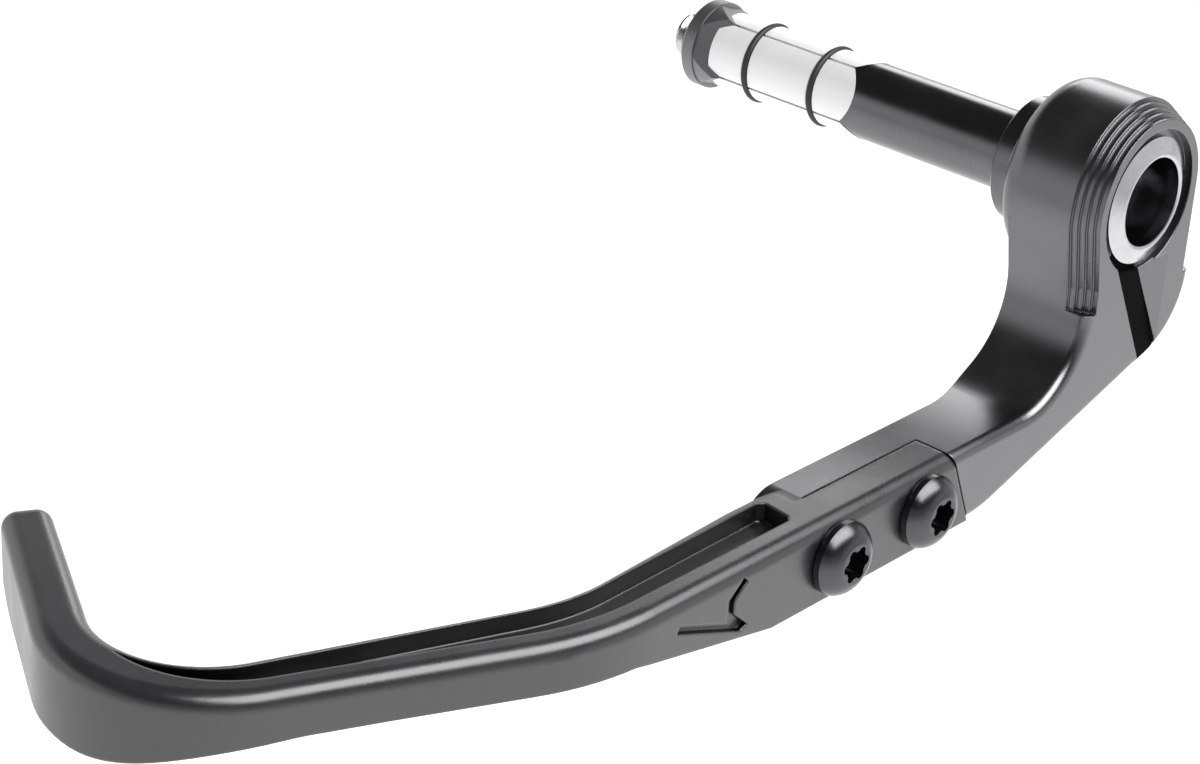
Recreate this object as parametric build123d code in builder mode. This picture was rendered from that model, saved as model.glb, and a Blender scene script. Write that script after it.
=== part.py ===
from build123d import *
import math
import os

# Frame: origin on the stem's axis at the inboard face of its collar, +X outboard, -Y along
# the blade, +Z up. All sizes are in millimetres.

# Driving dimensions
FACE_X = 25.0            # outboard face of the arm and blade
BACK_X = 8.3             # back of the arm below the head
TONGUE_BACK_X = 11.0     # back of the tongue and of the blade
TONGUE_FRONT_X = 17.0    # front of the tongue, where the blade's lug lies
LUG_TOP_Z = -30.8
LUG_BOTTOM_Z = -44.6
TONGUE_END_Y = -78.0     # centre of the tongue's round end
TONGUE_END_R = 6.9
EDGE_R = 1.8             # rounding of the arm's outboard edges
SEAM_GAP = 0.35          # open joint between the blade's lug and the arm
HEAD_R = 16.7
HEAD_REAR_X = 4.9
COUNTERBORE_R = 12.6
COUNTERBORE_X = 23.4
SLIT_WIDTH = 5.2
SLIT_FLARE = 0.9         # extra width at the slit's upper end
STRIP_FRONT_X = 24.2     # front of the strip that fills the slit
SLIT_DIR = (0.47, -0.883)
SLIT_MID = (0.55, -19.35)
RIM_STEPS = 4
RIM_STEP_X = 1.15
RIM_STEP_IN = 0.6
RIM_STEP_FIRST_X = 20.4
STEM_R = 7.0
COLLAR_LENGTH = 3.4
BARREL_R = 9.5
BARREL_FIT = 0.05        # clearance of the barrel in the clamp
CLAMP_R = BARREL_R + BARREL_FIT
COLLAR_R = BARREL_R + 1.5
HEAD_REAR_R = COLLAR_R + 0.8
BEZEL_R = COLLAR_R + 0.1
BARREL_BORE_R = 7.8
BARREL_FLOOR_X = 5.8
BOLT_R = 4.0
BOLT_CLEAR_R = 4.3
STEM_TIP_X = -33.2
STEM_WEDGE_SLOPE = 1.4
SEGMENT_AZIMUTH = 160.7
SEGMENT_R = 7.05
SEGMENT_BORE_R = 4.4
SEGMENT_GAP = 0.5
SEGMENT_END_X = -66.2
NUT_R = 8.1
NUT_END_X = -72.6
NUT_RIM_X = -69.4
NUT_WEDGE_R = 7.9          # corners of the wedge, just inside the rim
NUT_WEDGE_SLOPE = 0.40
NUT_WEDGE_U = 6.1          # wedge face to axis at the segments' outer end
NUT_WALL = 0.65            # least wall between the wedge faces and the thread
NUT_WEDGE_END_X = SEGMENT_END_X + (NUT_WEDGE_U - BOLT_R - NUT_WALL) / NUT_WEDGE_SLOPE
RING_XS = (-42.6, -57.7)
RING_SECTION_R = 0.65
RING_MAJOR_R = 6.85
SCREW_Z = -37.7
SCREW_YS = (-56.0, -78.0)
SCREW_HEAD_R = 6.2
SCREW_RIM_X = 26.4
SCREW_TOP_X = 28.9
PINCH_AT = (15.0, 1.1, -20.6)
PINCH_DIR = (0.0, 0.883, 0.47)
PINCH_SEAT = 8.4

# Blade plan along its outer face: straight, bend, second straight, curl, hook
BEND_R = 48.0
BEND_START_Y = -120.2
BEND_TURN = 25.0         # degrees
STRAIGHT_LENGTH = 38.0
CURL_R = 27.5
CURL_TURN = 94.8         # degrees
HOOK_LENGTH = 32.2
TIP_THICKNESS = 7.8
TIP_R = 2.6
BLADE_EDGE_R = 2.6       # rounding of the blade's outer top edge
BLADE_INNER_EDGE_R = 0.9
BEND_WALL = 12.6         # thickness at the bend
CURL_WALL = 10.0         # thickness at the curl
INNER_TURN = 21.5        # degrees, heading of the inner side between bend and curl
POCKET_DEPTH = 3.2
POCKET_WALL = 4.6        # outer wall beside the pocket
POCKET_RIM = 2.6         # inner wall beside the pocket
BEND_RIM = 1.9
CURL_RIM = 2.3
BLADE_BOTTOM_Z = -38.3   # lower edge of the second straight
HOOK_BOTTOM_Z = -44.7
DROP_DIR = (0.9734, 0.2291)
DROP_FROM = 33.0         # where the lower edge starts to drop, measured against DROP_DIR
DROP_TO = 66.0
DROP_TIP = 99.8

os.makedirs("parts", exist_ok=True)


def on_circle(centre, radius, degrees):
    """Point of a circle in a plan sketch."""
    a = math.radians(degrees)
    return (centre[0] + radius * math.cos(a), centre[1] + radius * math.sin(a))


def step(point, turn, along, inward):
    """Plan point moved along and inward of a heading that has turned from -Y toward -X."""
    a = math.radians(turn)
    return (point[0] - along * math.sin(a) - inward * math.cos(a),
            point[1] - along * math.cos(a) + inward * math.sin(a))


def side_plane(azimuth):
    """Plane that holds the stem's axis, with local y pointing out at the azimuth."""
    a = math.radians(azimuth)
    return Plane(origin=(0, 0, 0), x_dir=(1, 0, 0), z_dir=(0, -math.sin(a), math.cos(a)))


def nearest_edges(edges, points):
    """For each point, the edge whose middle lies nearest to it."""
    return [min(edges, key=lambda e: (e.center() - Vector(*p)).length) for p in points]


# Arm: clamp head, arm and the tongue that carries the blade
with BuildPart() as head_core:
    with BuildSketch(Plane.XY):
        with BuildLine():
            Polyline((FACE_X, 0), (HEAD_REAR_X, 0), (HEAD_REAR_X, HEAD_REAR_R))
            ThreePointArc((HEAD_REAR_X, HEAD_REAR_R), (6.1, 15.3), (9.6, HEAD_R))
            Polyline((9.6, HEAD_R), (FACE_X, HEAD_R), (FACE_X, 0))
        make_face()
    revolve(axis=Axis.X)
    with BuildSketch(Plane.YZ.offset(BACK_X)):
        with BuildLine():
            Line((-16.3, -3.6), (-14.5, -12.96))
            ThreePointArc((-14.5, -12.96), on_circle((-29.2, -15.8), 15, -40), (-29.2, LUG_TOP_Z))
            Line((-29.2, LUG_TOP_Z), (TONGUE_END_Y, LUG_TOP_Z))
            ThreePointArc((TONGUE_END_Y, LUG_TOP_Z), (TONGUE_END_Y - TONGUE_END_R, SCREW_Z), (TONGUE_END_Y, LUG_BOTTOM_Z))
            Line((TONGUE_END_Y, LUG_BOTTOM_Z), (-43.0, LUG_BOTTOM_Z))
            ThreePointArc((-43.0, LUG_BOTTOM_Z), (-39.8, -44.4), (-36.8, -43.8))
            Line((-36.8, -43.8), (6.8, -30.48))
            ThreePointArc((6.8, -30.48), (12.6, -27.0), (16.7, -17.1))
            Line((16.7, -17.1), (16.7, 0))
            Line((16.7, 0), (-16.3, -3.6))
        make_face()
    extrude(amount=FACE_X - BACK_X)

# Region outside the lug's slanted shoulder, in front of the tongue
with BuildPart() as lug_seat:
    with BuildSketch(Plane.YZ.offset(TONGUE_FRONT_X)):
        with BuildLine():
            Polyline((-49.2, LUG_TOP_Z + 1), (-42.3, LUG_BOTTOM_Z - 1), (-90, LUG_BOTTOM_Z - 1),
                     (-90, LUG_TOP_Z + 1), close=True)
        make_face()
    extrude(amount=20)

# Tilted facet beside the slit
with BuildPart() as facet_cut:
    with BuildSketch(Plane.XY.offset(-27.2)):
        with BuildLine():
            Polyline((FACE_X, 8.6), (FACE_X + 1, 8.6), (FACE_X + 1, -1.2), (FACE_X - 1.1, -1.2), close=True)
        make_face()
    extrude(amount=15.4)
    with BuildSketch(Plane.YZ.offset(20)):
        with BuildLine():
            Polyline((-1.2, -11.0), (9.0, -10.4), (9.0, -28.0), (7.2, -27.2), close=True)
        make_face()
    extrude(amount=10, mode=Mode.INTERSECT)

with BuildPart() as guard_arm:
    add(head_core.part)
    add(lug_seat.part, mode=Mode.SUBTRACT)
    face_edges = guard_arm.edges().group_by(Axis.X)[-1]
    fillet(nearest_edges(face_edges, [(FACE_X, -17.6, -25.4), (FACE_X, -39.0, LUG_TOP_Z), (FACE_X, 14.0, -25.4),
                                      (FACE_X, -15.0, -37.1), (FACE_X, 16.7, -8.5)]), EDGE_R)
    with BuildSketch(Plane.XY.offset(LUG_BOTTOM_Z - 5)):
        with BuildLine():
            Line((BACK_X - 3, -22.0), (BACK_X, -22.0))
            Spline((BACK_X, -22.0), (TONGUE_BACK_X, -37.0), tangents=[(0, -1), (0, -1)])
            Polyline((TONGUE_BACK_X, -37.0), (TONGUE_BACK_X, -95), (BACK_X - 3, -95), (BACK_X - 3, -22.0))
        make_face()
    extrude(amount=30, mode=Mode.SUBTRACT)
    for k in range(RIM_STEPS):
        inset = RIM_STEP_IN * (k + 1)
        with BuildSketch(Plane.YZ.offset(RIM_STEP_FIRST_X + RIM_STEP_X * k)):
            with Locations((0, 2)):
                Rectangle(60, 38.4)
            with BuildLine():
                Line((-16.3 + inset, -3.6), (-14.5 + inset, -12.96))
                Line((-14.5 + inset, -12.96), (-14.25 + inset, -18.5))
                Line((-14.25 + inset, -18.5), (16.7 - inset, -18.5))
                Line((16.7 - inset, -18.5), (16.7 - inset, 0))
                ThreePointArc((16.7 - inset, 0), (0, HEAD_R - inset), (-16.3 + inset, -3.6))
            make_face(mode=Mode.SUBTRACT)
        extrude(amount=10, mode=Mode.SUBTRACT)
    with BuildSketch(Plane.YZ.offset(HEAD_REAR_X - 1)):
        Circle(CLAMP_R)
    extrude(amount=30, mode=Mode.SUBTRACT)
    with BuildSketch(Plane.YZ.offset(COUNTERBORE_X)):
        Circle(COUNTERBORE_R)
    extrude(amount=5, mode=Mode.SUBTRACT)
    slit_plane = Plane(origin=(0, SLIT_MID[0], SLIT_MID[1]), x_dir=(0, SLIT_DIR[0], SLIT_DIR[1]), z_dir=(1, 0, 0))
    with BuildSketch(slit_plane):
        with BuildLine():
            Polyline((-13.5, -SLIT_WIDTH / 2), (17, -SLIT_WIDTH / 2), (17, SLIT_WIDTH / 2),
                     (-13.5, SLIT_WIDTH / 2 + SLIT_FLARE), close=True)
        make_face()
    extrude(amount=30, mode=Mode.SUBTRACT)
    add(facet_cut.part, mode=Mode.SUBTRACT)
    pinch_plane = Plane(origin=PINCH_AT, x_dir=(1, 0, 0), z_dir=PINCH_DIR)
    with BuildSketch(pinch_plane.offset(-15)):
        Circle(2.52)
    extrude(amount=30, mode=Mode.SUBTRACT)
    with BuildSketch(pinch_plane.offset(PINCH_SEAT)):
        Circle(4.6)
    extrude(amount=20, mode=Mode.SUBTRACT)
    for y in SCREW_YS:
        with BuildSketch(Plane.YZ.offset(TONGUE_BACK_X - 1)):
            with Locations((y, SCREW_Z)):
                Circle(3.02)
        extrude(amount=10, mode=Mode.SUBTRACT)
guard_arm.part.label = "guard_arm"
export_step(guard_arm.part, "parts/guard_arm.step")

# Strip that fills the slit, with the hole for the pinch screw
with BuildPart() as slit_strip:
    with BuildSketch(slit_plane.offset(HEAD_REAR_X + 5)):
        with BuildLine():
            Polyline((-13.5, -SLIT_WIDTH / 2), (17, -SLIT_WIDTH / 2), (17, SLIT_WIDTH / 2),
                     (-13.5, SLIT_WIDTH / 2 + SLIT_FLARE), close=True)
        make_face()
    extrude(amount=STRIP_FRONT_X - HEAD_REAR_X - 5)
    add(head_core.part, mode=Mode.INTERSECT)
    with BuildSketch(Plane.YZ):
        Circle(CLAMP_R)
    extrude(amount=30, mode=Mode.SUBTRACT)
    with BuildSketch(Plane.YZ.offset(COUNTERBORE_X)):
        Circle(COUNTERBORE_R)
    extrude(amount=5, mode=Mode.SUBTRACT)
    add(facet_cut.part, mode=Mode.SUBTRACT)
    with BuildSketch(pinch_plane.offset(-15)):
        Circle(2.52)
    extrude(amount=30, mode=Mode.SUBTRACT)
slit_strip.part.label = "slit_strip"
export_step(slit_strip.part, "parts/slit_strip.step")

# Plan points of the blade
bend_centre = (FACE_X - BEND_R, BEND_START_Y)
bend_end = on_circle(bend_centre, BEND_R, -BEND_TURN)
curl_start = step(bend_end, BEND_TURN, STRAIGHT_LENGTH, 0)
curl_centre = step(curl_start, BEND_TURN, 0, CURL_R)
hook_turn = BEND_TURN + CURL_TURN
curl_end = on_circle(curl_centre, CURL_R, -hook_turn)
curl_middle = on_circle(curl_centre, CURL_R, -(BEND_TURN + hook_turn) / 2)
tip_outer = step(curl_end, hook_turn, HOOK_LENGTH, 0)
tip_inner = step(tip_outer, hook_turn, 0, TIP_THICKNESS)
inner_bend_r = BEND_R - BEND_WALL
inner_centre = (curl_centre[0] - 1.36, curl_centre[1] - 1.18)
inner_r = CURL_R - CURL_WALL
inner_bend_end = on_circle(bend_centre, inner_bend_r, -INNER_TURN)
inner_curl_start = on_circle(inner_centre, inner_r, -INNER_TURN)
inner_curl_end = on_circle(inner_centre, inner_r, -hook_turn)
inner_curl_middle = on_circle(inner_centre, inner_r, -(INNER_TURN + hook_turn) / 2)

# Blade: what lies above its lower edge, which drops again toward the tip
with BuildPart() as blade_keep:
    with BuildSketch(Plane.YZ.offset(-90)):
        with BuildLine():
            Polyline((-30, LUG_TOP_Z), (-240, LUG_TOP_Z), (-240, BLADE_BOTTOM_Z), (-160, BLADE_BOTTOM_Z))
            Line((-160, BLADE_BOTTOM_Z), (-124, -38.7))
            Polyline((-124, -38.7), (-93, LUG_BOTTOM_Z), (-30, LUG_BOTTOM_Z), (-30, LUG_TOP_Z))
        make_face()
    extrude(amount=150)
    drop_plane = Plane(origin=(0, 0, 0), x_dir=(-DROP_DIR[0], -DROP_DIR[1], 0), z_dir=(-DROP_DIR[1], DROP_DIR[0], 0))
    with BuildSketch(drop_plane.offset(-240)):
        with BuildLine():
            Line((DROP_FROM, LUG_TOP_Z), (DROP_FROM, BLADE_BOTTOM_Z))
            Spline((DROP_FROM, BLADE_BOTTOM_Z), (DROP_TO, HOOK_BOTTOM_Z), tangents=[(1, -0.06), (1, 0)])
            Line((DROP_TO, HOOK_BOTTOM_Z), (DROP_TIP - 9, HOOK_BOTTOM_Z))
            ThreePointArc((DROP_TIP - 9, HOOK_BOTTOM_Z), (DROP_TIP - 3.6, HOOK_BOTTOM_Z + 1.2),
                          (DROP_TIP + 0.4, HOOK_BOTTOM_Z + 5))
            Polyline((DROP_TIP + 0.4, HOOK_BOTTOM_Z + 5), (DROP_TIP + 9, LUG_TOP_Z), (DROP_FROM, LUG_TOP_Z))
        make_face()
    extrude(amount=150)

with BuildPart() as guard_blade:
    with BuildSketch(Plane.XY.offset(LUG_TOP_Z)):
        with BuildLine():
            Line((TONGUE_BACK_X, -40), (FACE_X, -40))
            Line((FACE_X, -40), (FACE_X, BEND_START_Y))
            ThreePointArc((FACE_X, BEND_START_Y), on_circle(bend_centre, BEND_R, -BEND_TURN / 2), bend_end)
            Line(bend_end, curl_start)
            ThreePointArc(curl_start, curl_middle, curl_end)
            Line(curl_end, tip_outer)
            Line(tip_outer, tip_inner)
            Line(tip_inner, inner_curl_end)
            ThreePointArc(inner_curl_end, inner_curl_middle, inner_curl_start)
            Line(inner_curl_start, inner_bend_end)
            ThreePointArc(inner_bend_end, on_circle(bend_centre, inner_bend_r, -INNER_TURN / 2),
                          on_circle(bend_centre, inner_bend_r, 0))
            Line(on_circle(bend_centre, inner_bend_r, 0), (TONGUE_BACK_X, TONGUE_END_Y - 12))
            Line((TONGUE_BACK_X, TONGUE_END_Y - 12), (TONGUE_BACK_X, -40))
        make_face()
    extrude(amount=LUG_BOTTOM_Z - LUG_TOP_Z - 3)
    add(blade_keep.part, mode=Mode.INTERSECT)
    with BuildSketch(Plane.YZ.offset(TONGUE_BACK_X - 1)):
        with BuildLine():
            Line((-20, LUG_TOP_Z), (TONGUE_END_Y, LUG_TOP_Z))
            ThreePointArc((TONGUE_END_Y, LUG_TOP_Z), (TONGUE_END_Y - TONGUE_END_R, SCREW_Z), (TONGUE_END_Y, LUG_BOTTOM_Z))
            Polyline((TONGUE_END_Y, LUG_BOTTOM_Z), (-20, LUG_BOTTOM_Z), (-20, LUG_TOP_Z))
        make_face()
    extrude(amount=TONGUE_FRONT_X - TONGUE_BACK_X + 1, mode=Mode.SUBTRACT)
    with BuildSketch(Plane.YZ.offset(TONGUE_FRONT_X - 1)):
        with BuildLine():
            Polyline((-49.2 - SEAM_GAP, LUG_TOP_Z + 1), (-42.3 - SEAM_GAP, LUG_BOTTOM_Z - 1), (-20, LUG_BOTTOM_Z - 1),
                     (-20, LUG_TOP_Z + 1), close=True)
        make_face()
    extrude(amount=20, mode=Mode.SUBTRACT)
    upright = guard_blade.edges().filter_by(Axis.Z)
    fillet(nearest_edges(upright, [(*tip_outer, -36), (*tip_inner, -38)]), TIP_R)
    top_edges = guard_blade.edges().group_by(Axis.Z)[-1]
    fillet(nearest_edges(top_edges, [(FACE_X, (BEND_START_Y - 49.5) / 2, LUG_TOP_Z),
                                     (*on_circle(bend_centre, BEND_R, -BEND_TURN / 2), LUG_TOP_Z),
                                     (*step(bend_end, BEND_TURN, STRAIGHT_LENGTH / 2, 0), LUG_TOP_Z),
                                     (*curl_middle, LUG_TOP_Z),
                                     (*step(curl_end, hook_turn, HOOK_LENGTH / 2, 0), LUG_TOP_Z)]), BLADE_EDGE_R)
    with BuildSketch(Plane.XY.offset(LUG_TOP_Z)):
        with BuildLine():
            pocket_back = (TONGUE_BACK_X + POCKET_RIM, TONGUE_END_Y - 6.6)
            pocket_bend = on_circle(bend_centre, BEND_R - POCKET_WALL, 0)
            pocket_bend_end = on_circle(bend_centre, BEND_R - POCKET_WALL, -BEND_TURN)
            pocket_curl = on_circle(curl_centre, CURL_R - POCKET_WALL, -BEND_TURN)
            pocket_end = on_circle(inner_centre, inner_r + CURL_RIM, -83)
            rim_curl = on_circle(inner_centre, inner_r + CURL_RIM, -INNER_TURN)
            rim_bend_end = on_circle(bend_centre, inner_bend_r + BEND_RIM, -INNER_TURN)
            rim_bend = on_circle(bend_centre, inner_bend_r + BEND_RIM, 0)
            Polyline(pocket_back, (pocket_back[0] + 0.9, pocket_back[1] + 1.1),
                     (pocket_bend[0] - 1, pocket_back[1] + 0.6), (pocket_bend[0], pocket_back[1] - 0.6), pocket_bend)
            ThreePointArc(pocket_bend, on_circle(bend_centre, BEND_R - POCKET_WALL, -BEND_TURN / 2), pocket_bend_end)
            Line(pocket_bend_end, pocket_curl)
            ThreePointArc(pocket_curl, on_circle(curl_centre, CURL_R - POCKET_WALL - 0.7, -54), pocket_end)
            ThreePointArc(pocket_end, on_circle(inner_centre, inner_r + CURL_RIM, -52), rim_curl)
            Line(rim_curl, rim_bend_end)
            ThreePointArc(rim_bend_end, on_circle(bend_centre, inner_bend_r + BEND_RIM, -INNER_TURN / 2), rim_bend)
            Line(rim_bend, pocket_back)
        make_face()
    extrude(amount=-POCKET_DEPTH, mode=Mode.SUBTRACT)
    with BuildSketch(Plane.YZ.offset(FACE_X)):
        with BuildLine():
            Polyline((-100.7, -32.7), (-104.0, -35.5), (-104.0, -39.3), (-115.0, -35.3), (-115.5, -36.5),
                     (-100.6, -42.0), (-99.1, -41.3), (-102.5, -38.3), (-102.5, -36.1), (-99.7, -33.6), close=True)
        make_face()
    extrude(amount=-1.1, mode=Mode.SUBTRACT)
    with BuildSketch(Plane.XZ.offset(-(-46))):
        with Locations((TONGUE_FRONT_X + SEAM_GAP / 2, LUG_TOP_Z)):
            Rectangle(SEAM_GAP, 1.6)
    extrude(amount=-TONGUE_END_Y - 46, mode=Mode.SUBTRACT)
    for y in SCREW_YS:
        with BuildSketch(Plane.YZ.offset(TONGUE_FRONT_X - 8)):
            with Locations((y, SCREW_Z)):
                Circle(3.2)
        extrude(amount=30, mode=Mode.SUBTRACT)
guard_blade.part.label = "guard_blade"
export_step(guard_blade.part, "parts/guard_blade.step")

# Blade screws: domed heads with six-lobe recesses
for screw_name, y in (("blade_screw_inner", SCREW_YS[0]), ("blade_screw_outer", SCREW_YS[1])):
    with BuildPart() as blade_screw:
        with BuildSketch(Plane.XY.offset(SCREW_Z)):
            with BuildLine():
                Polyline((12.0, y), (12.0, y + 2.5), (12.5, y + 3.0), (FACE_X, y + 3.0),
                         (FACE_X, y + SCREW_HEAD_R - 0.2), (FACE_X + 0.4, y + SCREW_HEAD_R),
                         (SCREW_RIM_X, y + SCREW_HEAD_R))
                ThreePointArc((SCREW_RIM_X, y + SCREW_HEAD_R), (28.1, y + 5.0), (SCREW_TOP_X, y + 3.4))
                Polyline((SCREW_TOP_X, y + 3.4), (SCREW_TOP_X, y), (12.0, y))
            make_face()
        revolve(axis=Axis((0, y, SCREW_Z), (1, 0, 0)))
        with BuildSketch(Plane.YZ.offset(SCREW_TOP_X - 2.9)):
            with Locations((y, SCREW_Z)):
                Circle(2.4)
                with PolarLocations(2.2, 6):
                    Circle(0.85)
        extrude(amount=5, mode=Mode.SUBTRACT)
    blade_screw.part.label = screw_name
    export_step(blade_screw.part, "parts/" + screw_name + ".step")

# Stem: tube with a four-sided wedge end, collar and barrel
with BuildPart() as bar_stem:
    with BuildSketch(Plane.XY):
        with BuildLine():
            Polyline((-39.0, BOLT_CLEAR_R), (-39.0, STEM_R), (0, STEM_R), (0, COLLAR_R - 0.4), (0.4, COLLAR_R),
                     (COLLAR_LENGTH, COLLAR_R), (COLLAR_LENGTH, BARREL_R), (COUNTERBORE_X, BARREL_R),
                     (COUNTERBORE_X, BARREL_BORE_R), (BARREL_FLOOR_X, BARREL_BORE_R),
                     (BARREL_FLOOR_X, BOLT_CLEAR_R), close=True)
        make_face()
    revolve(axis=Axis.X)
    for k in range(4):
        with BuildSketch(side_plane(SEGMENT_AZIMUTH + 90 * k)):
            with BuildLine():
                Polyline((STEM_TIP_X + 1.4 * STEM_WEDGE_SLOPE, STEM_R + 1.4), (-50, STEM_R + 1.4),
                         (-50, 0), (STEM_TIP_X - STEM_R * STEM_WEDGE_SLOPE, 0), close=True)
            make_face()
        extrude(amount=20, both=True, mode=Mode.SUBTRACT)
bar_stem.part.label = "bar_stem"
export_step(bar_stem.part, "parts/bar_stem.step")

with BuildPart() as spacer_ring:
    with BuildSketch(Plane.XY):
        with BuildLine():
            Polyline((COLLAR_LENGTH, CLAMP_R), (COLLAR_LENGTH, COLLAR_R), (HEAD_REAR_X, HEAD_REAR_R),
                     (HEAD_REAR_X, CLAMP_R), close=True)
        make_face()
    revolve(axis=Axis.X)
spacer_ring.part.label = "spacer_ring"
export_step(spacer_ring.part, "parts/spacer_ring.step")

with BuildPart() as bezel_ring:
    with BuildSketch(Plane.XY):
        with BuildLine():
            Polyline((COUNTERBORE_X, BARREL_BORE_R), (COUNTERBORE_X, BEZEL_R), (COUNTERBORE_X + 1, BEZEL_R),
                     (FACE_X + 0.5, BARREL_BORE_R + 0.9))
            ThreePointArc((FACE_X + 0.5, BARREL_BORE_R + 0.9), (FACE_X + 0.6, BARREL_BORE_R + 0.5),
                          (FACE_X + 0.4, BARREL_BORE_R))
            Line((FACE_X + 0.4, BARREL_BORE_R), (COUNTERBORE_X, BARREL_BORE_R))
        make_face()
    revolve(axis=Axis.X)
bezel_ring.part.label = "bezel_ring"
export_step(bezel_ring.part, "parts/bezel_ring.step")

# Expander: four quarter shells round the bolt, spread by the wedge nut
with BuildPart() as expander_segment_1:
    with BuildSketch(side_plane(SEGMENT_AZIMUTH)):
        with BuildLine():
            Polyline((-30, SEGMENT_BORE_R), (-30, SEGMENT_R), (SEGMENT_END_X, SEGMENT_R),
                     (SEGMENT_END_X, SEGMENT_BORE_R), close=True)
        make_face()
    revolve(axis=Axis.X)
    for x in RING_XS:
        with BuildSketch(Plane.XY):
            with Locations((x, 8)):
                Rectangle(2 * RING_SECTION_R + 0.2, 2 * (8 - RING_MAJOR_R + RING_SECTION_R))
        revolve(axis=Axis.X, mode=Mode.SUBTRACT)
    apex = on_circle((0, 0), SEGMENT_GAP / math.sqrt(2), SEGMENT_AZIMUTH)
    with BuildSketch(Plane.YZ.offset(-80)):
        with BuildLine():
            Polyline(apex, on_circle(apex, 30, SEGMENT_AZIMUTH + 45), on_circle(apex, 30, SEGMENT_AZIMUTH - 45),
                     close=True)
        make_face()
    extrude(amount=60, mode=Mode.INTERSECT)
    with BuildSketch(side_plane(SEGMENT_AZIMUTH)):
        with BuildLine():
            Polyline((STEM_TIP_X + 1.4 * STEM_WEDGE_SLOPE, STEM_R + 1.4), (-20, STEM_R + 1.4), (-20, 0),
                     (STEM_TIP_X - STEM_R * STEM_WEDGE_SLOPE, 0), close=True)
        make_face()
    extrude(amount=20, both=True, mode=Mode.SUBTRACT)
    with BuildSketch(side_plane(SEGMENT_AZIMUTH)):
        with BuildLine():
            Polyline((SEGMENT_END_X - 10, NUT_WEDGE_U + 10 * NUT_WEDGE_SLOPE), (SEGMENT_END_X - 10, 0),
                     (SEGMENT_END_X + NUT_WEDGE_U / NUT_WEDGE_SLOPE, 0), close=True)
        make_face()
    extrude(amount=20, both=True, mode=Mode.SUBTRACT)
expander_segment_1.part.label = "expander_segment_1"
export_step(expander_segment_1.part, "parts/expander_segment_1.step")

with BuildPart() as expander_segment_2:
    add(expander_segment_1.part, rotation=(90, 0, 0))
expander_segment_2.part.label = "expander_segment_2"
export_step(expander_segment_2.part, "parts/expander_segment_2.step")

with BuildPart() as expander_segment_3:
    add(expander_segment_1.part, rotation=(180, 0, 0))
expander_segment_3.part.label = "expander_segment_3"
export_step(expander_segment_3.part, "parts/expander_segment_3.step")

with BuildPart() as expander_segment_4:
    add(expander_segment_1.part, rotation=(270, 0, 0))
expander_segment_4.part.label = "expander_segment_4"
export_step(expander_segment_4.part, "parts/expander_segment_4.step")

with BuildPart() as o_ring_inner:
    with BuildSketch(Plane.XY):
        with Locations((RING_XS[0], RING_MAJOR_R)):
            Circle(RING_SECTION_R)
    revolve(axis=Axis.X)
o_ring_inner.part.label = "o_ring_inner"
export_step(o_ring_inner.part, "parts/o_ring_inner.step")

with BuildPart() as o_ring_outer:
    with BuildSketch(Plane.XY):
        with Locations((RING_XS[1], RING_MAJOR_R)):
            Circle(RING_SECTION_R)
    revolve(axis=Axis.X)
o_ring_outer.part.label = "o_ring_outer"
export_step(o_ring_outer.part, "parts/o_ring_outer.step")

# Wedge nut: round rim and four wedge faces that meet the segments
with BuildPart() as wedge_nut:
    with BuildSketch(Plane.XY):
        with BuildLine():
            Polyline((NUT_END_X, BOLT_R + 0.02), (NUT_END_X, NUT_R - 0.8), (NUT_END_X + 0.8, NUT_R), (NUT_RIM_X, NUT_R),
                     (NUT_RIM_X, NUT_WEDGE_R), (NUT_WEDGE_END_X, NUT_WEDGE_R), (NUT_WEDGE_END_X, BOLT_R + 0.02),
                     close=True)
        make_face()
    revolve(axis=Axis.X)
    for k in range(4):
        with BuildSketch(side_plane(SEGMENT_AZIMUTH + 90 * k)):
            with BuildLine():
                Polyline((NUT_RIM_X, NUT_WEDGE_U - NUT_WEDGE_SLOPE * (NUT_RIM_X - SEGMENT_END_X)),
                         (NUT_RIM_X, 12), (-50, 12),
                         (-50, NUT_WEDGE_U - NUT_WEDGE_SLOPE * (-50 - SEGMENT_END_X)), close=True)
            make_face()
        extrude(amount=20, both=True, mode=Mode.SUBTRACT)
wedge_nut.part.label = "wedge_nut"
export_step(wedge_nut.part, "parts/wedge_nut.step")

# Long bolt through the stem, with its washer
with BuildPart() as stem_bolt:
    with BuildSketch(Plane.XY):
        with BuildLine():
            Polyline((15.4, 0), (15.4, 6.1), (15.0, 6.5), (BARREL_FLOOR_X + 1.6, 6.5),
                     (BARREL_FLOOR_X + 1.6, BOLT_R), (-72.9, BOLT_R), (-73.5, 3.5), (-74.1, BOLT_R),
                     (-74.7, 3.5), (-75.3, BOLT_R), (-75.9, 3.5), (-76.5, BOLT_R), (-76.9, BOLT_R),
                     (-77.6, 3.2), (-77.6, 0), close=True)
        make_face()
    revolve(axis=Axis.X)
    with BuildSketch(Plane.YZ.offset(11.4)):
        RegularPolygon(3.0, 6, major_radius=False)
    extrude(amount=5, mode=Mode.SUBTRACT)
stem_bolt.part.label = "stem_bolt"
export_step(stem_bolt.part, "parts/stem_bolt.step")

with BuildPart() as bolt_washer:
    with BuildSketch(Plane.YZ.offset(BARREL_FLOOR_X)):
        Circle(BARREL_BORE_R - 0.2)
        Circle(4.2, mode=Mode.SUBTRACT)
    extrude(amount=1.6)
bolt_washer.part.label = "bolt_washer"
export_step(bolt_washer.part, "parts/bolt_washer.step")

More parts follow.
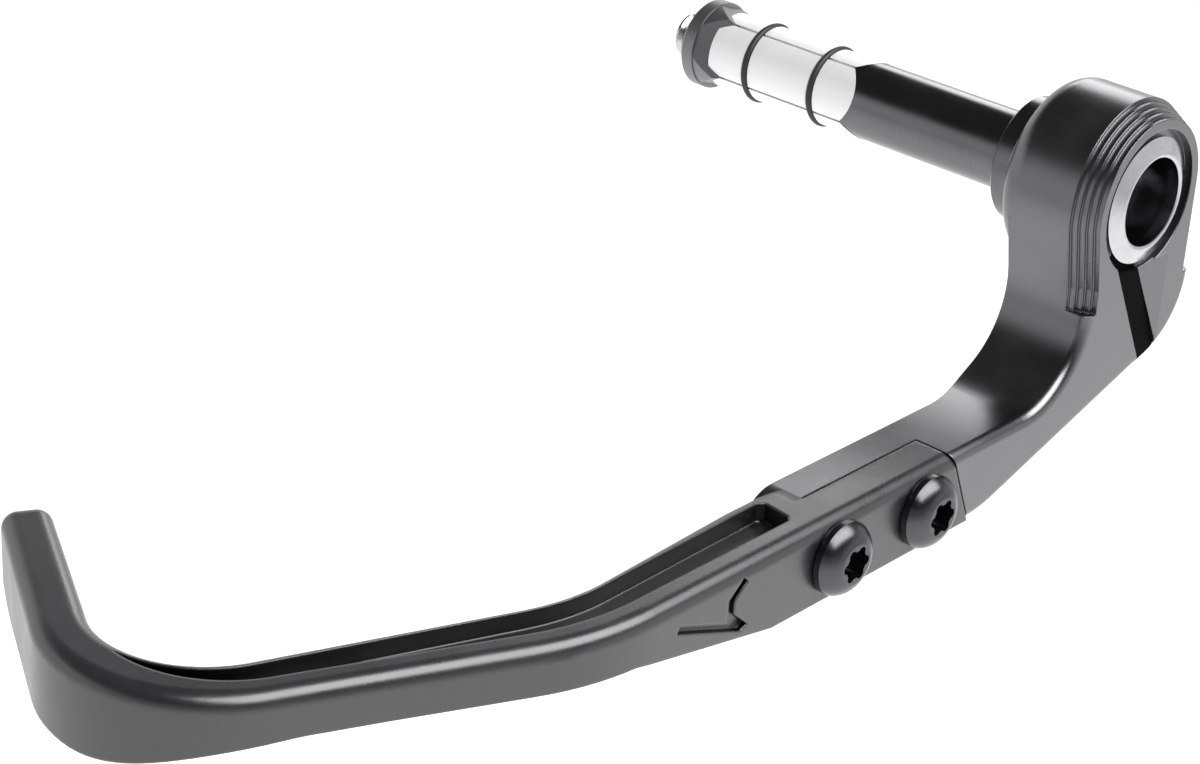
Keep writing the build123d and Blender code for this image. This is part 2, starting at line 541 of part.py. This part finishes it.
# Pinch screw across the head's slit
with BuildPart() as pinch_screw:
    with BuildSketch(pinch_plane.offset(PINCH_SEAT)):
        Circle(4.25)
    extrude(amount=5)
    with BuildSketch(pinch_plane.offset(PINCH_SEAT)):
        Circle(2.5)
    extrude(amount=-18)
    with BuildSketch(pinch_plane.offset(PINCH_SEAT + 2.5)):
        RegularPolygon(2.0, 6, major_radius=False)
    extrude(amount=5, mode=Mode.SUBTRACT)
pinch_screw.part.label = "pinch_screw"
export_step(pinch_screw.part, "parts/pinch_screw.step")
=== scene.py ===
# %% [markdown]
# # Brake lever guard: looks
#
# The part file gives every solid in its place. This scene gives each solid its finish, sets a
# pale floor and a soft studio light, and puts the camera where the photograph was taken from.
# All lengths are metres, in the frame of the part: the origin is on the stem's axis at its
# collar, +X points outboard, -Y runs along the blade and +Z is up.

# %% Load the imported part
import math
import bmesh
import bpy
from mathutils import Matrix, Vector

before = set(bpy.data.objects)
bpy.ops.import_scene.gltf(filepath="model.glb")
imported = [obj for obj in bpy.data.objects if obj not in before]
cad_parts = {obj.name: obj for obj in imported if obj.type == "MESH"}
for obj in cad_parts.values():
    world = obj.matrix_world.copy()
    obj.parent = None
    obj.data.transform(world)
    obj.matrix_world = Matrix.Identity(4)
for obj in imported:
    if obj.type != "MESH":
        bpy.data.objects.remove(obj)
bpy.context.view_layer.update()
MM = 0.001
print("nodes:", len(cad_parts))

# %% [markdown]
# ## Colours
#
# A colour picker shows sRGB values, and a shader wants linear ones. One function turns the hex
# string that the picker shows into the numbers that the shader reads, so the two stay in step.

# %% Colour from a hex string
def linear(hex_colour):
    """Linear RGBA from an sRGB hex string."""
    out = []
    for i in (0, 2, 4):
        c = int(hex_colour[i:i + 2], 16) / 255
        out.append(c / 12.92 if c <= 0.04045 else ((c + 0.055) / 1.055) ** 2.4)
    return (*out, 1.0)


print("mid grey as linear:", [round(c, 3) for c in linear("808080")])

# %% [markdown]
# ## Nodes
#
# A material is a graph of nodes. Adding one takes the same three steps each time: make it, set
# it, and connect it. One small function does all three. An input that is given a socket gets a
# link, and any other input gets the value.

# %% Add a node
def add_node(tree, kind, inputs=(), **settings):
    """Adds a node, sets its properties, and links or sets its inputs."""
    node = tree.nodes.new("ShaderNode" + kind)
    for name, value in settings.items():
        setattr(node, name, value)
    for name, value in dict(inputs).items():
        if isinstance(value, bpy.types.NodeSocket):
            tree.links.new(value, node.inputs[name])
        else:
            node.inputs[name].default_value = value
    return node


def new_material(name):
    """Node material, with its tree and its Principled shader."""
    mat = bpy.data.materials.new(name)
    mat.use_nodes = True
    return mat, mat.node_tree, mat.node_tree.nodes["Principled BSDF"]


print("materials so far:", len(bpy.data.materials))

# %% [markdown]
# ## One recipe for all finishes
#
# Blasting, turning and moulding each leave a grain on the real surface. It could be painted on a
# picture, but a picture needs a layout of the surface. A noise in Object coordinates needs none
# and keeps its size in metres. Stretched along two axes, it turns into lathe rings.
#
# So each finish is the same small graph. A fine noise mixes two close tones and raises a relief
# of a few thousandths of a millimetre. A slow noise, a finger's width across, lets the tone and
# the roughness drift, as they do on a real batch. Only the numbers differ, so one function holds
# the graph.
#
# The real grain of a blasted or turned surface is a few hundredths of a millimetre, which is
# finer than a pixel here. It is drawn at a tenth of a millimetre or more, so that it shows.
#
# No milled or moulded edge is a knife edge. On the arm and the blade a bevel node bends the light
# at each sharp edge as a small rounding would. It leaves the mesh alone.

# %% Recipe for a finish
DRIFT = 9 * MM
FINE_SHARE = 0.35            # the least light tone that the grain leaves
SLOW_SHARE = 0.6             # the least that the drift leaves
ROUGHNESS_DRIFT = 0.03
RELIEF_STRENGTH = 0.6
NOISE_ROUGHNESS = 0.55
NOISE_SPREAD = {"From Min": 0.3, "From Max": 0.7}      # a noise seldom leaves this range
EDGE_SAMPLES = 12


def finish(name, dark, light, metallic, rough, grain, relief, stretch=(1, 1, 1), worn=0.0):
    """A finish with grain between two tones; grain, relief and worn edge are in metres."""
    mat, tree, shader = new_material(name)
    coords = add_node(tree, "TexCoord").outputs["Object"]
    place = add_node(tree, "Mapping", {"Vector": coords, "Scale": tuple(s / grain for s in stretch)})
    fine = add_node(tree, "TexNoise", {"Vector": place.outputs["Vector"], "Scale": 1.0,
                                       "Detail": 3.0, "Roughness": NOISE_ROUGHNESS}).outputs["Fac"]
    slow = add_node(tree, "TexNoise", {"Vector": coords, "Scale": 1 / DRIFT,
                                       "Detail": 2.0, "Roughness": NOISE_ROUGHNESS}).outputs["Fac"]
    fine_part = add_node(tree, "MapRange", {"Value": fine, "To Min": FINE_SHARE, **NOISE_SPREAD})
    slow_part = add_node(tree, "MapRange", {"Value": slow, "To Min": SLOW_SHARE, **NOISE_SPREAD})
    both = add_node(tree, "Math", {0: fine_part.outputs["Result"], 1: slow_part.outputs["Result"]},
                    operation="MULTIPLY")
    tone = add_node(tree, "Mix", {"Factor": both.outputs["Value"], "A": linear(dark),
                                  "B": linear(light)}, data_type="RGBA")
    drift = add_node(tree, "MapRange", {"Value": slow, "To Min": rough - ROUGHNESS_DRIFT,
                                        "To Max": rough + ROUGHNESS_DRIFT, **NOISE_SPREAD})
    bump = add_node(tree, "Bump", {"Height": fine, "Strength": RELIEF_STRENGTH, "Distance": relief})
    if worn:
        soft_edge = add_node(tree, "Bevel", {"Radius": worn}, samples=EDGE_SAMPLES)
        tree.links.new(soft_edge.outputs["Normal"], bump.inputs["Normal"])
    tree.links.new(tone.outputs["Result"], shader.inputs["Base Color"])
    tree.links.new(drift.outputs["Result"], shader.inputs["Roughness"])
    tree.links.new(bump.outputs["Normal"], shader.inputs["Normal"])
    shader.inputs["Metallic"].default_value = metallic
    return mat


print("drift, mm:", DRIFT / MM)

# %% [markdown]
# ## A finish goes on a piece
#
# A piece shows the materials in its slots. They could be picked face by face, but each of these
# pieces has one finish all over. So a short loop fills every slot of a piece with it.

# %% Put a finish on pieces
def dress(mat, *names):
    """Gives the finish to these nodes of the part."""
    for name in names:
        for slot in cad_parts[name].material_slots:
            slot.material = mat
    print(mat.name, "on", ", ".join(names))


# %% [markdown]
# ## The arm
#
# The arm is milled from aluminium, blasted with fine beads and anodised black. The dye sits in a
# clear oxide over bright metal, so the piece reflects like a dull grey mirror and not like paint.
# A metallic shader with a mid tone and a middling roughness gives those broad, soft highlights.

# %% Arm
dress(finish("satin_black_anodised_aluminium", "6c6c6e", "7a7a7c", metallic=1.0, rough=0.28,
             grain=0.20 * MM, relief=0.001 * MM, worn=0.30 * MM), "guard_arm")

# %% [markdown]
# ## The blade
#
# The blade is moulded in black nylon. The mould was sparked, which leaves a grain about a third
# of a millimetre across that breaks the highlights up. Nylon isn't metallic. In the photograph
# it is glossier than most plastics, so its specular level is twice the usual.
#
# Its pocket and the cut groove look black, because little light gets into them. An ambient
# occlusion node finds such places, and a mix darkens the tone there. That darkening is painted shade.

# %% Blade
HOLLOW_REACH = 5 * MM
HOLLOW_SAMPLES = 8
# Colour of the painted shade in the blade's pocket and groove.
PAINTED_SHADE_TONE = "0c0c0c"
OPEN_ENOUGH = 0.90           # share of open sky from which the tone stays as it is
CLOSED_IN = 0.35             # share from which it is darkest
NYLON_GLOSS = 1.0

nylon = finish("moulded_black_nylon", "1e1e20", "2a2a2c", metallic=0.0, rough=0.28,
               grain=0.34 * MM, relief=0.014 * MM, worn=0.6 * MM)
nylon_tree = nylon.node_tree
nylon_shader = nylon_tree.nodes["Principled BSDF"]
nylon_tone = nylon_shader.inputs["Base Color"].links[0].from_socket
# Painted shade: ambient occlusion finds the hollows, and the mix below darkens the blade's tone in
# them.
open_sky = add_node(nylon_tree, "AmbientOcclusion", {"Distance": HOLLOW_REACH},
                    samples=HOLLOW_SAMPLES)
shade_amount = add_node(nylon_tree, "MapRange", {"Value": open_sky.outputs["AO"], "From Min": CLOSED_IN,
                                          "From Max": OPEN_ENOUGH, "To Min": 1.0, "To Max": 0.0})
painted_shade = add_node(nylon_tree, "Mix", {"Factor": shade_amount.outputs["Result"], "A": nylon_tone,
                                      "B": linear(PAINTED_SHADE_TONE)},
                  data_type="RGBA", blend_type="MULTIPLY")
nylon_tree.links.new(painted_shade.outputs["Result"], nylon_shader.inputs["Base Color"])
nylon_shader.inputs["Specular IOR Level"].default_value = NYLON_GLOSS
dress(nylon, "guard_blade")

# %% [markdown]
# ## Turned pieces
#
# The stem, the spacer and the bezel come off a lathe, so their grain runs in rings round the X
# axis. The stem is polished and anodised black, and shows one long dark streak. The spacer and
# the bezel are left silver. The wedge nut is anodised too, but not polished.

# %% Stem, spacer, bezel and nut
LATHE_RINGS = (1, 0.06, 0.06)
dress(finish("gloss_black_anodised_aluminium", "646466", "747476", metallic=1.0, rough=0.22,
             grain=0.12 * MM, relief=0.001 * MM, stretch=LATHE_RINGS), "bar_stem")
dress(finish("bare_turned_aluminium", "d0d0d2", "e6e6e8", metallic=1.0, rough=0.25,
             grain=0.12 * MM, relief=0.001 * MM, stretch=LATHE_RINGS), "spacer_ring")
dress(finish("clear_anodised_aluminium", "b0b0b2", "c4c4c6", metallic=1.0, rough=0.15,
             grain=0.12 * MM, relief=0.001 * MM, stretch=LATHE_RINGS), "bezel_ring")
dress(finish("grey_black_anodised_aluminium", "7c7c7e", "8e8e91", metallic=1.0, rough=0.45,
             grain=0.12 * MM, relief=0.001 * MM), "wedge_nut")

# %% [markdown]
# ## Expander segments
#
# The four segments that grip the inside of the handlebar are bright drawn aluminium, nearly
# white in the photograph. Half of the shader is metallic and keeps a sheen. The other half
# scatters the light like chalk, so that they look white from every side. Drawing leaves its
# lines along X.

# %% Expander segments
DRAWN_LINES = (0.1, 1, 1)
dress(finish("bright_drawn_aluminium", "f6f6f7", "fefefe", metallic=0.5, rough=0.5,
             grain=0.12 * MM, relief=0.001 * MM, stretch=DRAWN_LINES),
      "expander_segment_1", "expander_segment_2", "expander_segment_3", "expander_segment_4")

# %% [markdown]
# ## Rubber
#
# Two O-rings hold the segments together, and a strip fills the clamp slit. Rubber isn't
# metallic. The rings have a faint sheen from their mould. The strip has next to none and a tone
# darker than theirs, so it reads as a black line: real rubber, partly painted shade of the deep slit.

# %% O-rings and strip
STRIP_GLOSS = 0.05

dress(finish("nitrile_rubber", "1c1c1d", "28282a", metallic=0.0, rough=0.5,
             grain=0.2 * MM, relief=0.004 * MM), "o_ring_inner", "o_ring_outer")
# The strip's near-black tone is partly painted shade of the deep clamp slit.
slit_rubber_and_shade = finish("matte_black_rubber", "060606", "0a0a0a", metallic=0.0, rough=0.85,
                      grain=0.3 * MM, relief=0.004 * MM)
slit_rubber_and_shade.node_tree.nodes["Principled BSDF"].inputs["Specular IOR Level"].default_value = STRIP_GLOSS
dress(slit_rubber_and_shade, "slit_strip")

# %% [markdown]
# ## Screws
#
# The blade's screws and the pinch screw are steel with a black oxide, which is thin and dark and
# still reflects. The long bolt that pulls the wedge is zinc plated, as is its washer, so they
# stay bright.

# %% Screws, bolt and washer
dress(finish("black_oxide_steel", "4a4a4c", "5c5c5f", metallic=1.0, rough=0.27,
             grain=0.25 * MM, relief=0.002 * MM),
      "blade_screw_inner", "blade_screw_outer", "pinch_screw")
dress(finish("zinc_plated_steel", "b4b4b6", "cacacc", metallic=1.0, rough=0.26,
             grain=0.2 * MM, relief=0.002 * MM), "stem_bolt", "bolt_washer")

# %% [markdown]
# ## Floor
#
# The photograph has a white ground with no shadow on it. A white world could give it, but the
# world is kept for the studio light.

# %% Floor
FLOOR_Z = -0.35
FLOOR_REACH = 6.0
FLOOR_GLOW = 0.66
FLOOR_ROUGHNESS = 0.9

floor_shape = bmesh.new()
bmesh.ops.create_grid(floor_shape, x_segments=1, y_segments=1, size=FLOOR_REACH,
                      matrix=Matrix.Translation((0, 0, FLOOR_Z)))
floor_mesh = bpy.data.meshes.new("floor")
floor_shape.to_mesh(floor_mesh)
floor_shape.free()
pale, pale_tree, pale_shader = new_material("pale_floor")
pale_shader.inputs["Base Color"].default_value = linear("d8d8d8")
pale_shader.inputs["Roughness"].default_value = FLOOR_ROUGHNESS
pale_shader.inputs["Emission Color"].default_value = linear("ffffff")
pale_shader.inputs["Emission Strength"].default_value = FLOOR_GLOW
floor_mesh.materials.append(pale)
floor = bpy.data.objects.new("floor", floor_mesh)
bpy.context.scene.collection.objects.link(floor)
print("floor faces:", len(floor_mesh.polygons), "nodes:", len(pale_tree.nodes))

# %% [markdown]
# ## Lamps
#
# A black shiny part shows its lamps more than its own colour, so the lamps are placed by where
# their mirror image falls. A point or a sun would draw small hard spots, so both are area lamps.
# A wide one overhead draws the long highlight on the blade's rounded edge. A smaller one low at
# the back lightens the tops of the head and the tongue. A lamp's power is worked out from the
# brightness that its mirror image should have.

# %% Lamps
MIDDLE = Vector((-0.01, -0.09, -0.03))
ALONG_BLADE = Vector((0, 1, 0))


def soft_lamp(name, toward, distance, across, along, brightness):
    """Rectangular soft lamp that faces the part; a brightness of 1 looks white."""
    data = bpy.data.lights.new(name, "AREA")
    data.shape = "RECTANGLE"
    data.size = across
    data.size_y = along
    data.energy = brightness * math.pi * across * along
    lamp = bpy.data.objects.new(name, data)
    bpy.context.scene.collection.objects.link(lamp)
    z_axis = Vector(toward).normalized()
    x_axis = ALONG_BLADE.cross(z_axis).normalized()
    turn = Matrix((x_axis, z_axis.cross(x_axis), z_axis)).transposed().to_4x4()
    lamp.matrix_world = Matrix.Translation(MIDDLE + z_axis * distance) @ turn
    print(name, "power", round(data.energy, 2), "W")


soft_lamp("overhead_soft", (0.46, 0.12, 0.86), distance=1.1, across=0.8, along=1.5, brightness=6.5)
soft_lamp("back_panel", (-0.45, 0.80, 0.40), distance=1.3, across=0.50, along=0.42, brightness=2.8)

# %% [markdown]
# ## Camera
#
# The camera stands where the photograph was taken from. Its place was found by matching round
# edges and corners of the part to the picture. Three angles could turn it, but the match gave
# its axes as vectors, so they make its matrix as they are.

# %% Camera
CAMERA_AT = Vector((0.2614, -0.4066, 0.1923))
RIGHT = Vector((0.7336, 0.6774, 0.0547))
UP = Vector((-0.3410, 0.2973, 0.8918))
BACK = Vector((0.5879, -0.6729, 0.4491))
LENS = 90.0                  # in mm, and so is the sensor
SENSOR = 36.0
NEAREST = 0.01

camera_data = bpy.data.cameras.new("camera")
camera_data.sensor_width = SENSOR
camera_data.lens = LENS
camera_data.clip_start = NEAREST
camera = bpy.data.objects.new("camera", camera_data)
bpy.context.scene.collection.objects.link(camera)
camera.matrix_world = Matrix.Translation(CAMERA_AT) @ Matrix((RIGHT, UP, BACK)).transposed().to_4x4()
bpy.context.scene.camera = camera
bpy.context.scene.view_settings.view_transform = "Standard"
print("camera distance:", round(CAMERA_AT.length, 3), "m")

# %% [markdown]
# ## Studio
#
# The room round the part is bright near the horizon and dark overhead. The dark part is what
# draws the streak along the polished stem and the dark line beside each bright edge. The side
# that the photograph was taken from is about half as bright. A dot product tells how far a
# direction in the room turns toward an axis, so one for each of the two is enough.

# %% Studio brightness
OVERHEAD = (0.1, -0.05, 0.99)

world = bpy.data.worlds.new("studio")
bpy.context.scene.world = world
world.use_nodes = True
sky = world.node_tree
outward = add_node(sky, "TexCoord").outputs["Generated"]


def fall_toward(axis, high_at, low_at, high, low):
    """Brightness that falls from high to low as the direction turns toward an axis."""
    dot = add_node(sky, "VectorMath", {0: outward, 1: axis}, operation="DOT_PRODUCT")
    fall = add_node(sky, "MapRange", {"Value": dot.outputs["Value"], "From Min": high_at,
                                      "From Max": low_at, "To Min": high, "To Max": low})
    return fall.outputs["Result"]


behind = fall_toward(tuple(BACK), high_at=0.28, low_at=0.70, high=0.95, low=0.45)
above = fall_toward(OVERHEAD, high_at=0.26, low_at=0.46, high=1.0, low=0.06)
room = add_node(sky, "Math", {0: behind, 1: above}, operation="MULTIPLY")
backdrop = sky.nodes["Background"]
backdrop.inputs["Color"].default_value = linear("ffffff")
sky.links.new(room.outputs["Value"], backdrop.inputs["Strength"])
print("world nodes:", len(sky.nodes))
